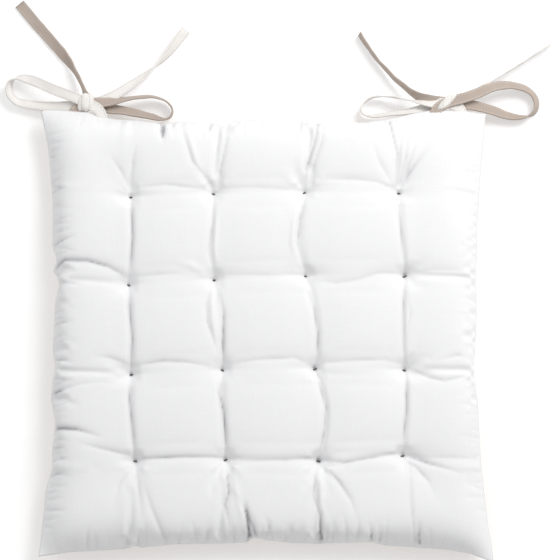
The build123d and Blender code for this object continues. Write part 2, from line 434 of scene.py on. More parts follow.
# the folds: (depth along it), width, points, in millimetres; a negative depth is a ridge
folds = [
    # down the columns of tufts
    ((1, 4, 4, 4, 1), 2.2, [(-119, 120), (-117.5, 103), (-116.7, 82), (-118, 63), (-120.4, 45)]),
    ((1, 4, 4, 4, 1), 2.2, [(-120.4, 40), (-118, 11), (-116.2, -9), (-117.5, -38)]),
    ((1, 4, 4, 4, 1), 2.2, [(-117.5, -39), (-118, -62), (-115, -90), (-113.5, -112)]),
    ((1, 2, 3, 2, 1), 2.5, [(-45.4, 121), (-46, 95), (-49.4, 71), (-45.4, 50)]),
    ((0, -1.5, -2, 0), 2.5, [(-42, 110), (-43, 90), (-44, 70), (-42, 53)]),
    ((1, 2.5, 2.5, 0), 2.2, [(-44.6, 45), (-51, 22), (-50, 6), (-45, -8), (-39, -28)]),
    ((0, -1.6, -1.6, 0), 2.4, [(-44, 40), (-46, 22), (-45, 6), (-42, -12)]),
    ((0, 3.5, 4.5, 1), 2.2, [(-39, 32), (-36, 14), (-36.5, -12), (-36.5, -33)]),
    ((1, 3.5, 4.5, 4, 1), 2.2, [(-37, -36), (-39, -57), (-35.7, -73), (-34, -93), (-34, -112)]),
    ((1, 3, 3.5, 2, 0.2), 2.2, [(35, 121), (34.6, 116), (31, 96), (29.4, 77), (31.6, 63),
                                (36, 51)]),
    ((0, -1.5, -1.8, 0), 2.6, [(30, 112), (26, 96), (24.5, 77), (28, 62)]),
    ((0, 2, 3.4, 3.6, 1), 1.9, [(36, 50), (39, 32), (44, 17), (47, -4), (46.5, -22), (44.3, -33)]),
    ((1, 3.2, 3.8, 3.2, 1), 1.8, [(44.3, -34), (48.7, -49), (54, -69), (53.2, -87), (47.2, -114)]),
    ((1, 3.5, 3.5, 1), 2.0, [(119.5, 124), (119.2, 104), (121.5, 81), (123, 65), (124.4, 50.5)]),
    ((1, 3.5, 3.5, 1), 2.0, [(124.4, 50), (122.5, 29), (122.5, -1), (122.2, -31)]),
    ((0, 1.5, 0), 1.8, [(125.5, 32), (128, 14), (125.5, -8)]),
    ((1, 4, 4, 1), 2.0, [(123.7, -34), (124.4, -49), (124.4, -72), (122.2, -91), (121.5, -108)]),
    # along the rows of tufts
    ((1, 2.2, 2.4, 1), 3.6, [(-112.7, 127), (-88.7, 129.4), (-51.8, 125.4)]),
    ((1, 1.8, 1), 4.5, [(-40.6, 126), (-8.5, 127), (31.6, 124.6)]),
    ((0.6, 2.2, 2, 1), 3.8, [(54, 134), (82, 134), (100, 132), (116, 126)]),
    ((1, 1.8, 0.6), 4.0, [(-114, 47), (-89, 49), (-73, 49)]),
    ((0, -1.4, 0), 4.0, [(-80, 60), (-65, 57), (-49, 48)]),
    ((1, 1.8, 1), 4.5, [(-39, 49), (6, 48), (31.6, 49)]),
    ((0, 1.8, 1.8, 1), 4.0, [(37.6, 50), (49.5, 42), (64, 41), (82, 44), (100, 50), (120.7, 50.5)]),
    ((1, 3, 2.6, 1), 3.0, [(-114, -32), (-89, -28), (-69, -29), (-50, -32)]),
    ((1, 2.4, 1), 3.8, [(-29, -31), (-8.5, -27), (27, -25), (44, -33)]),
    ((1, 2.2, 1), 3.8, [(49.5, -30), (76, -27.5), (106, -26.7), (122, -31)]),
    ((1, 3.4, 3.2, 1), 2.8, [(-111, -114), (-73, -112), (-36, -112)]),
    ((1, 2.6, 2.6, 1), 3.2, [(-32.5, -113), (-16.5, -115), (17, -114.5), (46.5, -113)]),
    ((1, 3.2, 3.2, 1), 2.8, [(48, -114), (69, -117), (91, -113), (119, -108.5)]),
    # from the left column out to the left seam
    ((1, 4, 4.5, 4), 3.0, [(-122, 47), (-138, 56), (-156, 61), (-177, 62), (-186.5, 56.5)]),
    ((2.5, 0.5), 1.8, [(-185, 50), (-164, 52)]),
    ((2.2, 0.3), 1.8, [(-185, 41), (-165.6, 39.5)]),
    ((1, 2, 0.4), 3.5, [(-117.5, -32), (-135, -25), (-150, -24)]),
    ((2.5, 1.6, 0.4), 2.6, [(-186, -55), (-161, -48), (-140, -46)]),
    ((1, 2.6, 2, 0.3), 3.0, [(-114, -111.5), (-137, -106), (-162, -100)]),
    ((0.5, 4, 5), 2.8, [(-143, -94.5), (-164, -88), (-185, -86.4)]),
    # from the right column out to the right seam
    ((1, 2.6, 2.2, 1), 3.0, [(126.7, -34), (143, -42), (158, -45.5), (172.7, -42), (184.6, -36)]),
    ((1.5, 0.2), 2.2, [(128, -25), (135.6, -15)]),
    ((0.3, 1.8), 2.2, [(153, -27), (171, -23)]),
    ((1, 3.4, 2, 0.3), 2.6, [(122, -109), (143, -117.5), (172.7, -126)]),
    ((1, 1.6, 1), 4.5, [(125, -112), (186, -113)]),
    ((1, 2.6, 1, 0.2), 2.6, [(129.6, -118), (143, -133), (149, -148)]),
    ((1, 1.6, 0.8), 4.5, [(124, 50), (150, 53), (187, 52)]),
    # from the rear row up to the rear seam
    ((1, 2, 0.2), 3.0, [(-120.7, 128), (-127, 141), (-138, 157)]),
    ((1, 2.2, 0.3), 3.0, [(-119, 131), (-116.7, 155), (-114, 167)]),
    ((3, 9, 9), 1.8, [(-91, 172), (-91, 180), (-91, 188)]),
    ((1, -1.8, -1.6, 0), 3.5, [(-47, 128), (-60, 147), (-68, 176), (-69, 184.5)]),
    ((1, 2.4, 2, 1.5), 2.4, [(-48, 131), (-64, 150), (-72, 176), (-73, 187)]),
    ((1, 3, 2.2, 2.6), 2.4, [(-42, 128), (-39, 144), (-34, 168), (-32.5, 186)]),
    ((1, 3.6, 3, 2.6), 2.2, [(35, 127), (37.6, 146), (43.5, 164), (47, 179), (46.5, 191)]),
    ((0, 2.4, 2, 1), 2.0, [(39, 130), (44, 148), (50, 166), (53, 182)]),
    ((1, 2, 0.3), 2.6, [(115, 128), (103, 148), (95.5, 167)]),
    ((1, 2.6, 3, 4), 2.2, [(117, 129), (118.5, 156), (115, 172), (112, 189)]),
    ((1, 2, 1.4), 2.0, [(119, 131), (121, 156), (121.5, 181)]),
    ((1, 2.2, 1.4), 2.0, [(120.5, 130), (126, 156), (129, 181)]),
    ((0.5, 2, 0.6), 2.0, [(122, 131), (131, 156), (137, 179)]),
    ((1, 3.2, 2, 0.3), 2.6, [(120, 126), (126.7, 138), (137, 153), (148, 168)]),
    # from the front row down to the front seam
    ((0.5, 7, 10), 1.7, [(-16.5, -150), (-15, -164), (-12.5, -185)]),
    ((1, 4, 5.5), 1.6, [(49, -160), (49, -172), (49.5, -186)]),
    ((0.3, 4), 1.8, [(134, -166), (136, -187)]),
    ((1, 2, 0.4), 3.6, [(-112.7, -117), (-125.5, -135), (-132, -159)]),
    ((1, 2.4, 0.4), 3.0, [(-112, -119), (-108.7, -143), (-106, -167)]),
    ((0.4, 2.2, 2.6), 2.8, [(-106, -132), (-98, -156), (-87, -182)]),
    ((1, 3.6, 3.6, 3, 1.4, 0.6), 2.2, [(-31.7, -117), (-31.7, -135), (-31, -143), (-34.5, -154),
                                       (-31, -168), (-29, -180)]),
    ((0, -1.6, -1.6, 0), 3.0, [(-26, -122), (-24.5, -142), (-18, -164), (-11, -176)]),
    ((0.3, 2.8, 3.2), 2.4, [(-27, -142), (-15, -161), (-6, -182)]),
    ((1, 3, 2.4, 2.6), 2.6, [(47, -115), (44, -132), (43.5, -147), (48, -162), (49.5, -184)]),
    ((0, -1.6, -1.4, 0), 3.0, [(50, -122), (48.5, -140), (50, -156), (55, -174)]),
    ((0.8, 3, 2.4, 0.8, 0.3), 2.4, [(54, -121), (66, -135), (75, -149), (80, -164), (83, -176)]),
    ((0.3, 3, 5), 1.8, [(91, -168), (93, -176), (94, -187)]),
    ((1, 2.4, 2.2), 2.8, [(127, -118), (128, -154), (131, -184)]),
    ((0.3, 2.4), 2.2, [(-119, -172), (-120, -190)]),
    ((0.3, 2.4), 2.2, [(-108, -172), (-111, -190)]),
    ((0.3, 2.2), 2.2, [(-71, -170), (-74, -187)]),
    ((0.3, 2.2), 2.2, [(-49, -172), (-50, -186)]),
    ((0.3, 2.4), 2.2, [(99, -168), (101, -186)]),
]

# the fine gathers along the seam, fewer towards the corners
gather_gap = 7.0
gathers = []
chance = np.random.default_rng(7)
for side, weight in (("front", 1.0), ("rear", 0.8), ("left", 1.4), ("right", 0.6)):
    for place in np.arange(-186, 187, gather_gap):
        along = place + chance.uniform(-3, 3)
        reach_in = chance.uniform(8, 26)
        lean = chance.uniform(-0.35, 0.35) * reach_in
        strength = weight * chance.uniform(0.3, 2.2) * np.clip((190 - abs(along)) / 32, 0, 1)
        if side == "front":
            edge = seam_inset(front_seam, along * mm) / mm - 200
            line = [(along, edge), (along + lean, edge + reach_in)]
        elif side == "rear":
            edge = 200 - seam_inset(rear_seam, along * mm) / mm
            line = [(along, edge), (along + lean, edge - reach_in)]
        elif side == "left":
            edge = seam_inset(left_seam, along * mm) / mm - 200
            line = [(edge, along), (edge + reach_in, along + lean)]
        else:
            edge = 200 - seam_inset(right_seam, along * mm) / mm
            line = [(edge, along), (edge - reach_in, along + lean)]
        gathers.append(((strength, strength, 0), 1.9, line))


def folded(grid, up, share_of_depth, lists):
    """The panel with its folds pressed in, and how deep each point of it lies in a fold."""
    depth = np.zeros(grid.shape[:2])
    for line, width, points in lists:
        crease(grid, depth, line, width, points)
    rows, columns = depth.shape
    row_rim = np.minimum(np.arange(rows), np.arange(rows)[::-1])
    column_rim = np.minimum(np.arange(columns), np.arange(columns)[::-1])
    depth *= share_of_depth * np.clip(np.minimum(row_rim[:, None], column_rim) / 3, 0, 1)
    way = outward(grid, up)
    level_share = np.clip((np.abs(way[..., 2:]) - 0.3) / 0.5, 0, 1)
    way[..., :2] *= 1 - 0.8 * level_share
    return grid - depth[..., None] * way, depth


top_fine, top_depth = folded(finer(top_grid, 4), True, 0.75, folds + gathers)
under_fine, under_depth = folded(finer(under_grid, 2), False, 0.6, folds[:30] + gathers)
under_fine[..., 2] = np.maximum(under_fine[..., 2], 0.0002)


def cloth_piece(name, grid, up, depth, thickness):
    """A panel with its thickness. Its attribute fold holds painted shade, stronger the deeper a
    point lies in a fold.
    """
    rows, columns = grid.shape[:2]
    from_rim = np.minimum(np.minimum(np.arange(rows), np.arange(rows)[::-1])[:, None],
                          np.minimum(np.arange(columns), np.arange(columns)[::-1]))
    # the allowance is pressed flat at the seam
    pressed = np.clip(from_rim / (rows - 1) * across / 4, 0.03, 1)
    inner = grid - thickness * pressed[..., None] * outward(grid, up)
    number = np.arange(rows * columns).reshape(rows, columns)
    rim = np.concatenate([number[0, :-1], number[:-1, -1], number[-1, :0:-1], number[:0:-1, 0]])
    shift = rows * columns
    faces = squares_of(number, up) + squares_of(number + shift, not up)
    for a, b in zip(rim, np.roll(rim, -1)):
        faces.append((a, a + shift, b + shift, b) if up else (b, b + shift, a + shift, a))
    mesh = bpy.data.meshes.new(name)
    mesh.from_pydata(np.vstack([grid.reshape(-1, 3), inner.reshape(-1, 3)]).tolist(), [],
                     [tuple(int(v) for v in face) for face in faces])
    mesh.shade_smooth()
    # painted shade: the cloth is drawn darker the deeper it lies in a fold, standing in for the
    # shade in the creases
    fold_shade_full_depth = 0.0031
    painted_fold_shade = np.clip(depth.ravel() / fold_shade_full_depth, 0, 1) ** 2.2
    store = mesh.attributes.new("fold", "FLOAT", "POINT")
    store.data.foreach_set("value", np.tile(painted_fold_shade, 2).astype(np.float32))
    return set_in_scene(name, mesh)


def maths(tree, operation, *sources):
    """Output of a math node that works on other outputs or plain numbers."""
    node = tree.nodes.new("ShaderNodeMath")
    node.operation = operation
    for socket, source in zip(node.inputs, sources):
        if isinstance(source, float):
            socket.default_value = source
        else:
            tree.links.new(source, socket)
    return node.outputs[0]


# plain weave, as bump height and as a slight change of tone from thread to thread
weave = bpy.data.node_groups.new("plain_weave", "ShaderNodeTree")
weave.interface.new_socket("Place", in_out="INPUT", socket_type="NodeSocketVector")
weave.interface.new_socket("Threads", in_out="INPUT", socket_type="NodeSocketFloat")
weave.interface.new_socket("Height", in_out="OUTPUT", socket_type="NodeSocketFloat")
weave.interface.new_socket("Tone", in_out="OUTPUT", socket_type="NodeSocketFloat")
w_in = weave.nodes.new("NodeGroupInput")
w_out = weave.nodes.new("NodeGroupOutput")
w_scale = weave.nodes.new("ShaderNodeVectorMath")
w_scale.operation = "SCALE"
weave.links.new(w_in.outputs["Place"], w_scale.inputs[0])
weave.links.new(w_in.outputs["Threads"], w_scale.inputs["Scale"])
w_apart = weave.nodes.new("ShaderNodeSeparateXYZ")
weave.links.new(w_scale.outputs["Vector"], w_apart.inputs["Vector"])
w_waves = [maths(weave, "SINE", maths(weave, "MULTIPLY", w_apart.outputs[axis], math.pi))
           for axis in ("X", "Y")]
w_over = maths(weave, "MULTIPLY", *w_waves)
w_tones = []
for stretch in ((0.05, 1.0, 0.3), (1.0, 0.05, 0.3)):
    stretched = weave.nodes.new("ShaderNodeVectorMath")
    stretched.operation = "MULTIPLY"
    stretched.inputs[1].default_value = stretch
    weave.links.new(w_scale.outputs["Vector"], stretched.inputs[0])
    slub = weave.nodes.new("ShaderNodeTexNoise")
    slub.inputs["Scale"].default_value = 1.0
    slub.inputs["Detail"].default_value = 2.0
    weave.links.new(stretched.outputs["Vector"], slub.inputs["Vector"])
    w_tones.append(slub.outputs["Fac"])
w_tone = maths(weave, "ADD", *w_tones)
w_height = maths(weave, "MULTIPLY_ADD", w_over, 0.25, w_tone)
weave.links.new(w_height, w_out.inputs["Height"])
weave.links.new(w_tone, w_out.inputs["Tone"])


def cotton(name, colour, stitch_colour_and_fold_shade, threads_per_metre, bump, tape=False):
    """Woven cotton with a little sheen. A panel gets shade painted into its folds; a tape gets a
    stitched line of its second colour near its hem.
    """
    paint = bpy.data.materials.new(name)
    paint.use_nodes = True
    tree = paint.node_tree
    shader = tree.nodes["Principled BSDF"]
    shader.inputs["Roughness"].default_value = 0.88
    shader.inputs["Specular IOR Level"].default_value = 0.25
    shader.inputs["Sheen Weight"].default_value = 0.15
    shader.inputs["Sheen Roughness"].default_value = 0.5
    where = tree.nodes.new("ShaderNodeTexCoord")
    group = tree.nodes.new("ShaderNodeGroup")
    group.node_tree = weave
    group.inputs["Threads"].default_value = threads_per_metre
    tree.links.new(where.outputs["UV" if tape else "Object"], group.inputs["Place"])
    tone = tree.nodes.new("ShaderNodeMapRange")
    tone.inputs["From Min"].default_value = 0.7
    tone.inputs["From Max"].default_value = 1.3
    tone.inputs["To Min"].default_value = 0.972
    tone.inputs["To Max"].default_value = 1.0
    tree.links.new(group.outputs["Tone"], tone.inputs["Value"])
    shade = tree.nodes.new("ShaderNodeMix")
    shade.data_type = "RGBA"
    shade.inputs["A"].default_value = (*colour, 1.0)
    shade.inputs["B"].default_value = (*stitch_colour_and_fold_shade, 1.0)
    if tape:
        stitch_from_middle, stitch_thread, stitch_spacing = 0.0036, 0.00035, 0.0028
        part = tree.nodes.new("ShaderNodeSeparateXYZ")
        tree.links.new(where.outputs["UV"], part.inputs["Vector"])
        line = maths(tree, "COMPARE", maths(tree, "ABSOLUTE", part.outputs["X"]),
                     stitch_from_middle, stitch_thread)
        beat = maths(tree, "MULTIPLY", part.outputs["Y"], 2 * math.pi / stitch_spacing)
        on = maths(tree, "GREATER_THAN", maths(tree, "SINE", beat), -0.4)
        tree.links.new(maths(tree, "MULTIPLY", line, on), shade.inputs["Factor"])
    else:
        # painted shade in the folds, read from the fold attribute
        fold = tree.nodes.new("ShaderNodeAttribute")
        fold.attribute_name = "fold"
        limit = tree.nodes.new("ShaderNodeClamp")
        tree.links.new(fold.outputs["Fac"], limit.inputs["Value"])
        tree.links.new(limit.outputs["Result"], shade.inputs["Factor"])
    mix = tree.nodes.new("ShaderNodeVectorMath")
    mix.operation = "SCALE"
    tree.links.new(shade.outputs["Result"], mix.inputs[0])
    tree.links.new(tone.outputs["Result"], mix.inputs["Scale"])
    tree.links.new(mix.outputs["Vector"], shader.inputs["Base Color"])
    relief = tree.nodes.new("ShaderNodeBump")
    relief.inputs["Strength"].default_value = 0.5
    relief.inputs["Distance"].default_value = bump
    tree.links.new(group.outputs["Height"], relief.inputs["Height"])
    tree.links.new(relief.outputs["Normal"], shader.inputs["Normal"])
    return paint


cloth_thick = 0.0006
top_cover = cloth_piece("cover_white", top_fine, True, top_depth, cloth_thick)
# the darker second colour is shade painted into the folds
top_cover.data.materials.append(
    cotton("white_cotton", (0.814, 0.814, 0.82), (0.44, 0.44, 0.455), 1700.0, 0.00012))
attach(top_cover, "root")
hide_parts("top_cover")

under_cover = cloth_piece("cover_beige", under_fine, False, under_depth, cloth_thick)
# the darker second colour is shade painted into the folds
under_cover.data.materials.append(
    cotton("beige_cotton", (0.53, 0.43, 0.36), (0.36, 0.29, 0.24), 1700.0, 0.00012))
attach(under_cover, "root")
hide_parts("under_cover")

# ---------------------------------------------------------------------------------------
# Fibre filling: one cloud of carded polyester fibre, cut square and stuffed into the cover
# through the gap in the rear seam. The tuft threads pull it in with the covers.
# ---------------------------------------------------------------------------------------

loft_gap = 0.004              # the fibre keeps this far inside the cloth
top_core = (top_fine - loft_gap * outward(top_fine, True))[12:-12:4, 12:-12:4]
under_core = (under_fine - loft_gap * outward(under_fine, False))[6:-6:2, 6:-6:2]
least_half = 0.0008           # half the fibre's thickness where the covers almost meet
middle = (top_core + under_core) / 2
for core, sign in ((top_core, 1), (under_core, -1)):
    core[..., 2] = np.where(sign * (core[..., 2] - middle[..., 2]) > least_half, core[..., 2],
                            middle[..., 2] + sign * least_half)
for core in (top_core, under_core):
    core[0], core[-1] = middle[0], middle[-1]
    core[:, 0], core[:, -1] = middle[:, 0], middle[:, -1]
fibre_rows = len(top_core)
fibre_number = np.arange(fibre_rows ** 2).reshape(fibre_rows, fibre_rows)
fibre_under = fibre_number.copy()
fibre_under[1:-1, 1:-1] = fibre_rows ** 2 + np.arange((fibre_rows - 2) ** 2).reshape(
    fibre_rows - 2, fibre_rows - 2)
fibre_mesh = bpy.data.meshes.new("fibre")
fibre_mesh.from_pydata(
    np.vstack([top_core.reshape(-1, 3), under_core[1:-1, 1:-1].reshape(-1, 3)]).tolist(), [],
    squares_of(fibre_number, True) + squares_of(fibre_under, False))
fibre_mesh.shade_smooth()
fibre = set_in_scene("fibre", fibre_mesh)
fluff = bpy.data.materials.new("fibre")
fluff.use_nodes = True
fluff_shader = fluff.node_tree.nodes["Principled BSDF"]
fluff_shader.inputs["Base Color"].default_value = (0.86, 0.86, 0.85, 1.0)
fluff_shader.inputs["Roughness"].default_value = 1.0
fluff_tree = fluff.node_tree
fluff_noise = fluff_tree.nodes.new("ShaderNodeTexNoise")
fluff_noise.inputs["Scale"].default_value = 900.0
fluff_noise.inputs["Distortion"].default_value = 2.5
fluff_bump = fluff_tree.nodes.new("ShaderNodeBump")
fluff_bump.inputs["Distance"].default_value = 0.0006
fluff_place = fluff_tree.nodes.new("ShaderNodeTexCoord")
fluff_tree.links.new(fluff_place.outputs["Object"], fluff_noise.inputs["Vector"])
fluff_tree.links.new(fluff_noise.outputs["Fac"], fluff_bump.inputs["Height"])
fluff_tree.links.new(fluff_bump.outputs["Normal"], fluff_shader.inputs["Normal"])
fibre_mesh.materials.append(fluff)
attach(fibre, "root")
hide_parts("fibre_filling")

# ---------------------------------------------------------------------------------------
# Seam threads: lockstitches in white sewing cotton a few millimetres inside the edge, all round
# but for a gap in the rear seam, which longer hand stitches close. They lie between the panels.
# ---------------------------------------------------------------------------------------

stitches = bpy.data.node_groups.new("row_of_stitches", "GeometryNodeTree")
s_socket = {name: stitches.interface.new_socket(name, in_out="INPUT", socket_type=kind)
            for name, kind in (("Line", "NodeSocketGeometry"), ("Spacing", "NodeSocketFloat"),
                               ("Stitch", "NodeSocketFloat"), ("Thread", "NodeSocketFloat"),
                               ("Material", "NodeSocketMaterial"))}
stitches.interface.new_socket("Stitches", in_out="OUTPUT", socket_type="NodeSocketGeometry")
s_in = stitches.nodes.new("NodeGroupInput")
s_out = stitches.nodes.new("NodeGroupOutput")
s_curve = stitches.nodes.new("GeometryNodeMeshToCurve")
s_even = stitches.nodes.new("GeometryNodeResampleCurve")
s_even.mode = "LENGTH"
s_points = stitches.nodes.new("GeometryNodeCurveToPoints")
s_points.mode = "EVALUATED"
s_ball = stitches.nodes.new("GeometryNodeMeshUVSphere")
s_ball.inputs["Segments"].default_value = 6
s_ball.inputs["Rings"].default_value = 5
s_ball.inputs["Radius"].default_value = 0.5
s_size = stitches.nodes.new("ShaderNodeCombineXYZ")
s_place = stitches.nodes.new("GeometryNodeInstanceOnPoints")
s_real = stitches.nodes.new("GeometryNodeRealizeInstances")
s_smooth = stitches.nodes.new("GeometryNodeSetShadeSmooth")
s_paint = stitches.nodes.new("GeometryNodeSetMaterial")
for giver, output, taker, entry in (
        (s_in, "Line", s_curve, "Mesh"), (s_curve, "Curve", s_even, "Curve"),
        (s_in, "Spacing", s_even, "Length"), (s_even, "Curve", s_points, "Curve"),
        (s_points, "Points", s_place, "Points"), (s_points, "Rotation", s_place, "Rotation"),
        (s_in, "Thread", s_size, "X"), (s_in, "Thread", s_size, "Y"),
        (s_in, "Stitch", s_size, "Z"), (s_ball, "Mesh", s_place, "Instance"),
        (s_size, "Vector", s_place, "Scale"), (s_place, "Instances", s_real, "Geometry"),
        (s_real, "Geometry", s_smooth, "Geometry"), (s_smooth, "Geometry", s_paint, "Geometry"),
        (s_in, "Material", s_paint, "Material"), (s_paint, "Geometry", s_out, "Stitches")):
    stitches.links.new(giver.outputs[output], taker.inputs[entry])


def sewing_thread(name, colour):
    """Twisted cotton thread: fine slanting bands."""
    paint = bpy.data.materials.new(name)
    paint.use_nodes = True
    tree = paint.node_tree
    shader = tree.nodes["Principled BSDF"]
    shader.inputs["Roughness"].default_value = 0.7
    shader.inputs["Sheen Weight"].default_value = 0.2
    bands = tree.nodes.new("ShaderNodeTexWave")
    bands.bands_direction = "DIAGONAL"
    bands.inputs["Scale"].default_value = 700.0
    place = tree.nodes.new("ShaderNodeTexCoord")
    tree.links.new(place.outputs["Object"], bands.inputs["Vector"])
    ramp = tree.nodes.new("ShaderNodeMix")
    ramp.data_type = "RGBA"
    ramp.inputs["A"].default_value = (*[c * 0.75 for c in colour], 1.0)
    ramp.inputs["B"].default_value = (*colour, 1.0)
    tree.links.new(bands.outputs["Fac"], ramp.inputs["Factor"])
    tree.links.new(ramp.outputs["Result"], shader.inputs["Base Color"])
    return paint


white_thread = sewing_thread("white_thread", (0.82, 0.82, 0.80))
seam_rim = np.concatenate([top_grid[0, :-1], top_grid[:-1, -1], top_grid[-1, :0:-1],
                           top_grid[:0:-1, 0]])
drawn_in = 1 - 0.0036 / 0.195    # the thread's distance inside the seam, over the pad's half
seam_line = seam_rim * (drawn_in, drawn_in, 1)
gap_low, gap_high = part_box("closing_stitch_thread")
rear_from = 0.15
in_gap = ((seam_line[:, 1] > rear_from) & (seam_line[:, 0] > gap_low[0])
          & (seam_line[:, 0] < gap_high[0]))
seam_thread = 0.0005
for node, chosen, spacing, stitch in (("perimeter_seam_thread", ~in_gap, 0.0028, 0.0027),
                                      ("closing_stitch_thread", in_gap, 0.0045, 0.0034)):
    line_mesh = bpy.data.meshes.new(node + "_line")
    links = [(k, (k + 1) % len(seam_line)) for k in range(len(seam_line))
             if chosen[k] and chosen[(k + 1) % len(seam_line)]]
    line_mesh.from_pydata(seam_line.tolist(), links, [])
    line = set_in_scene(node + "_line", line_mesh)
    sewing = line.modifiers.new("stitches", "NODES")
    sewing.node_group = stitches
    for name, value in (("Spacing", spacing), ("Stitch", stitch), ("Thread", seam_thread),
                        ("Material", white_thread)):
        sewing[s_socket[name].identifier] = value
    shown = line.evaluated_get(bpy.context.evaluated_depsgraph_get())
    thread = set_in_scene(node + "_stitches", bpy.data.meshes.new_from_object(shown))
    bpy.data.objects.remove(line)
    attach(thread, "root")
    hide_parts(node)

# ---------------------------------------------------------------------------------------
# Tuft stitches: two-ply grey-brown thread, sewn once through the whole pad and back with a
# long needle and tied off tight, so only a short bar shows at the bottom of each dimple.
# Its grey-brown is painted near black, as painted shade for the bottom of the deep dimple.
# ---------------------------------------------------------------------------------------

# how far each stitch is turned from the row's line, in degrees
tuft_turn = [[12, -18, 25, -8], [-22, 10, -12, 20], [8, -25, 15, -15], [-10, 22, -20, 10]]


def twisted_thread(name, points, radius, twist, closed=True):
    """A two-ply thread along a line of points in metres."""
    points = np.array(points)
    count, round_steps = len(points), 10
    ahead = np.roll(points, -1, axis=0) - np.roll(points, 1, axis=0)
    ahead /= np.linalg.norm(ahead, axis=1, keepdims=True)
    lengths = np.linalg.norm(np.diff(points, axis=0), axis=1)
    along = np.concatenate([[0], np.cumsum(lengths)])
    flat_way = np.cross(points[1] - points[0], points[count // 2] - points[0])
    flat_way /= np.linalg.norm(flat_way)
    rise = np.cross(ahead, flat_way)
    rise /= np.linalg.norm(rise, axis=1, keepdims=True)
    angles = np.arange(round_steps) / round_steps * 2 * math.pi
    turn = along[:, None] / twist * 2 * math.pi
    size = radius * (0.86 + 0.14 * np.cos(2 * (angles[None, :] - turn)))
    ring = (points[:, None] + size[..., None] * (np.cos(angles)[None, :, None] * flat_way
                                                 + np.sin(angles)[None, :, None] * rise[:, None]))
    faces = []
    for k in range(count if closed else count - 1):
        after = (k + 1) % count
        for a in range(round_steps):
            b = (a + 1) % round_steps
            faces.append((k * round_steps + a, after * round_steps + a,
                          after * round_steps + b, k * round_steps + b))
    mesh = bpy.data.meshes.new(name)
    mesh.from_pydata(ring.reshape(-1, 3).tolist(), [], faces)
    mesh.shade_smooth()
    return set_in_scene(name, mesh)


def rounded_loop(half_length, half_height, corner, steps_per_side):
    """Points round a rectangle with rounded corners, first along its upper side."""
    points = []
    for centre_u, centre_v, start in ((half_length - corner, half_height - corner, 90),
                                      (half_length - corner, corner - half_height, 0),
                                      (corner - half_length, corner - half_height, -90),
                                      (corner - half_length, half_height - corner, 180)):
        for k in range(5):
            angle = math.radians(start - 90 * k / 4)
            points.append((centre_u + corner * math.cos(angle),
                           centre_v + corner * math.sin(angle)))
    filled = []
    for a, b in zip(points, points[1:] + points[:1]):
        gap = math.dist(a, b)
        parts = max(1, round(gap / steps_per_side))
        filled += [(a[0] + (b[0] - a[0]) * k / parts, a[1] + (b[1] - a[1]) * k / parts)
                   for k in range(parts)]
    return filled


half_bar, bar_corner, tuft_radius, tuft_twist = 0.0017, 0.0007, 0.0006, 0.0026
# painted shade: the thread's own grey-brown is darkened to near black for the shade in the dimple
tuft_thread_painted_dark = sewing_thread("tuft_thread", (0.075, 0.060, 0.052))
for row in range(4):
    for column in range(4):
        low, high = tuft_boxes[row][column]
        angle = math.radians(tuft_turn[row][column])
        middle_z = (low[2] + high[2]) / 2
        half_rise = (high[2] - low[2]) / 2 - 0.00045
        loop = [(tuft_x[row, column] + u * math.cos(angle),
                 tuft_y[row, column] + u * math.sin(angle), middle_z + v)
                for u, v in rounded_loop(half_bar, half_rise, bar_corner, 0.0006)]
        tuft = twisted_thread(f"tuft_r{row + 1}c{column + 1}", loop, tuft_radius, tuft_twist)
        tuft.data.materials.append(tuft_thread_painted_dark)
        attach(tuft, "root")
        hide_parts(tuft_names[row][column])

# ---------------------------------------------------------------------------------------
# Ties: four folded cotton tapes, 10 mm wide, two white and two beige. Each is tucked into
# the rear seam, held there by a sewn tack, and tied with its neighbour into a bow.
# ---------------------------------------------------------------------------------------

tape_width = 0.010
tape_thick = 0.0013
seam_at = {name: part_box(name + "_tack") for name in
           ("left_white_tie", "left_beige_tie", "right_white_tie", "right_beige_tie")}

